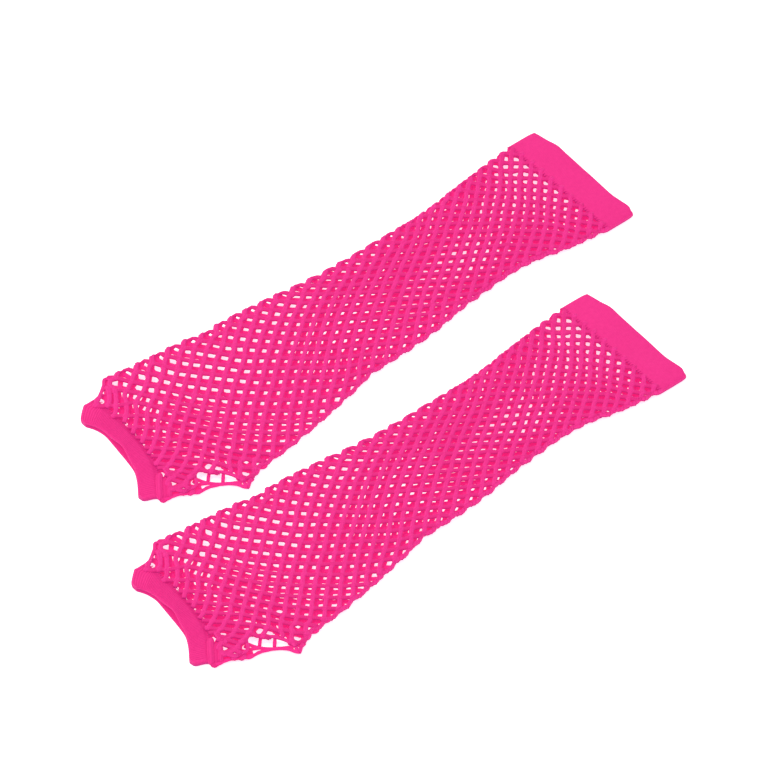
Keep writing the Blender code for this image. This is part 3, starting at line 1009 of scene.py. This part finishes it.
class Shader:
    """The nodes of one material, with a short method for each kind of node."""

    def __init__(self, name):
        self.material = bpy.data.materials.new(name)
        self.material.use_nodes = True
        self.nodes = self.material.node_tree.nodes
        self.links = self.material.node_tree.links
        self.finish = self.nodes["Principled BSDF"].inputs

    def feed(self, value, socket):
        """Links another node's output to a socket, or sets a plain value there."""
        if isinstance(value, bpy.types.NodeSocket):
            self.links.new(value, socket)
        elif isinstance(value, tuple):
            socket.default_value = (*value, 1.0)
        else:
            socket.default_value = value

    def set_finish(self, values):
        """Sets plain values on the Principled shader."""
        for name, value in values:
            self.feed(value, self.finish[name])

    def place(self, kind):
        """A surface's place or facing on its object."""
        return self.nodes.new("ShaderNodeTexCoord").outputs[kind]

    def calc(self, operation, *values):
        """A step of arithmetic."""
        node = self.nodes.new("ShaderNodeMath")
        node.operation = operation
        for value, socket in zip(values, node.inputs):
            self.feed(value, socket)
        return node.outputs[0]

    def noise(self, scale, detail):
        """Cloudy noise fixed to the piece, its scale in waves a metre."""
        node = self.nodes.new("ShaderNodeTexNoise")
        self.feed(self.place("Object"), node.inputs["Vector"])
        self.feed(scale, node.inputs["Scale"])
        self.feed(detail, node.inputs["Detail"])
        return node.outputs["Fac"]

    def between(self, value, low, high, at_low, at_high):
        """Runs from at_low to at_high while the value runs from low to high."""
        node = self.nodes.new("ShaderNodeMapRange")
        for number, socket in zip((value, low, high, at_low, at_high), node.inputs):
            self.feed(number, socket)
        return node.outputs["Result"]

    def blend(self, factor, first, second):
        """The first colour at 0 and the second at 1."""
        node = self.nodes.new("ShaderNodeMix")
        node.data_type = "RGBA"
        self.feed(factor, node.inputs["Factor"])
        self.feed(first, node.inputs["A"])
        self.feed(second, node.inputs["B"])
        return node.outputs["Result"]

    def split(self, vector):
        """The X, Y and Z of a vector."""
        node = self.nodes.new("ShaderNodeSeparateXYZ")
        self.feed(vector, node.inputs["Vector"])
        return node.outputs


def stitch_height(shader, knit, wale, course):
    """The height of the chain stitches, and how far off its wale's middle a place lies."""
    column = shader.calc("FRACT", shader.calc("DIVIDE", knit["X"], wale))
    off_middle = shader.calc("ABSOLUTE", shader.calc("SUBTRACT", column, 0.5))
    leg = shader.calc("ADD", shader.calc("DIVIDE", knit["Y"], course), off_middle)
    loop = shader.calc("SINE", shader.calc("MULTIPLY", leg, 2 * math.pi))
    groove = shader.calc("POWER", shader.calc("MULTIPLY", off_middle, 2.0), GROOVE_POWER)
    raised = shader.calc("MULTIPLY_ADD", loop, LOOP_HEIGHT, LOOP_MIDDLE)
    return shader.calc("SUBTRACT", raised, groove), off_middle


def knit_material(name, colour, wale, course, depth, roughness, wale_shade=PAINTED_WALE_SHADE,
                  tuck=None, low=None):
    """Pink knit: chain stitches, an uneven dye and a soft sheen.

    wale, course and depth are a stitch's width, length and relief. Up to tuck on the map the cloth
    is darkened with painted shade, and low is a redder colour painted on the lower of two layers,
    as if lit by light bounced off the upper one.
    """
    shader = Shader(name)
    # The knit map in millimetres, X across the wales and Y along them.
    knit_map = shader.nodes.new("ShaderNodeUVMap")
    knit_map.uv_map = "knit"
    knit = shader.split(knit_map.outputs["UV"])
    stitch, off_middle = stitch_height(shader, knit, wale, course)
    fuzz = shader.noise(*FUZZ_NOISE)
    bump = shader.nodes.new("ShaderNodeBump")
    shader.feed(BUMP_STRENGTH, bump.inputs["Strength"])
    shader.feed(depth * MM, bump.inputs["Distance"])
    relief = shader.calc("ADD", stitch, shader.calc("MULTIPLY", fuzz, FUZZ_HEIGHT))
    shader.feed(relief, bump.inputs["Height"])
    shader.feed(bump.outputs["Normal"], shader.finish["Normal"])

    # How much of the deep colour shows: mottled at random, and painted shade between stitches,
    # between wales, inside the tubes and up to the tuck.
    darker = [
        shader.between(shader.noise(scale, detail), none_at, all_at, 0.0, part)
        for scale, detail, none_at, all_at, part in MOTTLING
    ]
    darker.append(shader.between(stitch, -1.0, LOOP_HEIGHT, PAINTED_STITCH_SHADE, 0.0))
    darker.append(shader.between(off_middle, *WALE_EDGE, 0.0, wale_shade))
    darker.append(shader.between(knit["Y"], *INNER_FROM, 0.0, PAINTED_TURNED_IN_SHADE))
    if tuck is not None:
        tucked = (tuck - TUCK_BLUR, tuck + TUCK_BLUR)
        darker.append(shader.between(knit["Y"], *tucked, PAINTED_TURNED_IN_SHADE, 0.0))
    mottle_and_painted_shade = darker[0]
    for more in darker[1:]:
        mottle_and_painted_shade = shader.calc("ADD", mottle_and_painted_shade, more)
    dye_and_painted_light = shader.blend(shader.calc("MINIMUM", mottle_and_painted_shade, 1.0), colour, MOTTLE_AND_SHADE_PINK)
    # Painted bounce light: the net's lower layer turns redder, as if lit by the layer above it.
    if low is not None:
        height = shader.split(shader.place("Object"))["Z"]
        dye_and_painted_light = shader.blend(shader.between(height, *LOW_LAYER_TOP, 1.0, 0.0), dye_and_painted_light, low)
    # Painted shade on surfaces that face sideways, but not on undersides.
    facing_up = shader.split(shader.place("Normal"))["Z"]
    sideways = shader.between(facing_up, *RIM_FACING, 1.0, 0.0)
    not_under = shader.between(facing_up, *UNDER_FACING, 0.0, 1.0)
    dye_and_painted_light = shader.blend(shader.calc("MULTIPLY", sideways, not_under), dye_and_painted_light, PAINTED_RIM_SHADE_PINK)
    shader.feed(dye_and_painted_light, shader.finish["Base Color"])
    rough = (roughness - ROUGH_SPREAD, roughness + ROUGH_SPREAD)
    shader.feed(shader.between(fuzz, *FUZZ_RANGE, *rough), shader.finish["Roughness"])
    shader.set_finish(KNIT_FINISH)
    return shader.material


def make_gloves():
    """Both gloves, which are the same pieces in two places."""
    # The net cord's lower layer gets painted bounce light.
    cord = knit_material("net_cord", CORD_PINK, wale=1.8, course=1.1, depth=0.22,
                         roughness=0.78, low=PAINTED_BOUNCE_PINK)
    thread = knit_material("seam_thread", PINK, wale=1.0, course=0.8, depth=0.08,
                           roughness=0.70)
    jersey = knit_material("jersey_knit", PINK, wale=0.9, course=0.75, depth=0.10,
                           roughness=0.76)
    # The ribbing gets painted shade between its ribs and beside its seam.
    ribbing = knit_material("rib_knit", PINK, wale=RIB_WALE, course=0.9, depth=0.14,
                            roughness=0.76, wale_shade=0.9, tuck=3.0)
    trim_shapes = (
        ("knots", build_knots(), cord, "net"),
        ("edge_cords", build_edges(), cord, "net"),
        ("seam_thread", build_seam_thread(), thread, "net"),
        ("band_joins", build_band_joins(), ribbing, "rib"),
    )
    net, band, cuff = build_net(), build_band(), build_cuff()
    for number, along, across in GLOVES:
        prefix = f"glove_{number}"
        for name, shape, finish, slot in trim_shapes:
            trim = make_piece(f"{prefix}_{name}", shape, finish, along, across)
        piece = make_piece(f"{prefix}_net_cords", net, cord, along, across)
        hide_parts(f"{prefix}_net")
        piece = make_piece(f"{prefix}_rib_band", band, ribbing, along, across)
        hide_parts(f"{prefix}_knuckle_band")
        piece = make_piece(f"{prefix}_jersey_cuff", cuff, jersey, along, across)
        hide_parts(f"{prefix}_arm_cuff")


def make_floor():
    """A plain white surface, lit evenly from itself as a light table is."""
    mesh = bpy.data.meshes.new("floor")
    half = FLOOR_HALF
    corners = [(-half, -half, 0), (half, -half, 0), (half, half, 0), (-half, half, 0)]
    mesh.from_pydata(corners, [], [(0, 1, 2, 3)])
    floor = add_item("floor", mesh)
    paper = Shader("paper")
    paper.set_finish(PAPER_FINISH)
    mesh.materials.append(paper.material)


def make_camera():
    """The camera, with a long lens at the photo's angle."""
    ahead = Vector((
        -math.sin(AZIMUTH) * math.cos(ELEVATION),
        math.cos(AZIMUTH) * math.cos(ELEVATION),
        -math.sin(ELEVATION),
    ))
    lens = bpy.data.cameras.new("camera")
    lens.sensor_width = SENSOR_WIDTH
    lens.lens = SENSOR_WIDTH * DISTANCE / VIEW_WIDTH
    lens.clip_start, lens.clip_end = SEEN
    camera = add_item("camera", lens)
    camera.location = AIM - ahead * DISTANCE
    camera.rotation_euler = ahead.to_track_quat("-Z", "Y").to_euler()
    bpy.context.scene.camera = camera


def make_light():
    """An even white sky and two large soft lamps."""
    world = bpy.data.worlds.new("studio")
    world.use_nodes = True
    sky = world.node_tree.nodes["Background"]
    sky.inputs["Color"].default_value = (1.0, 1.0, 1.0, 1.0)
    sky.inputs["Strength"].default_value = SKY_STRENGTH
    bpy.context.scene.world = world
    for name, place, size, power in LAMPS:
        light = bpy.data.lights.new(name, "AREA")
        light.size = size
        light.energy = power
        item = add_item(name, light)
        item.location = place
        item.rotation_euler = (AIM - Vector(place)).to_track_quat("-Z", "Y").to_euler()
    bpy.context.scene.view_settings.view_transform = "Standard"


make_camera()
make_light()
make_floor()
make_gloves()
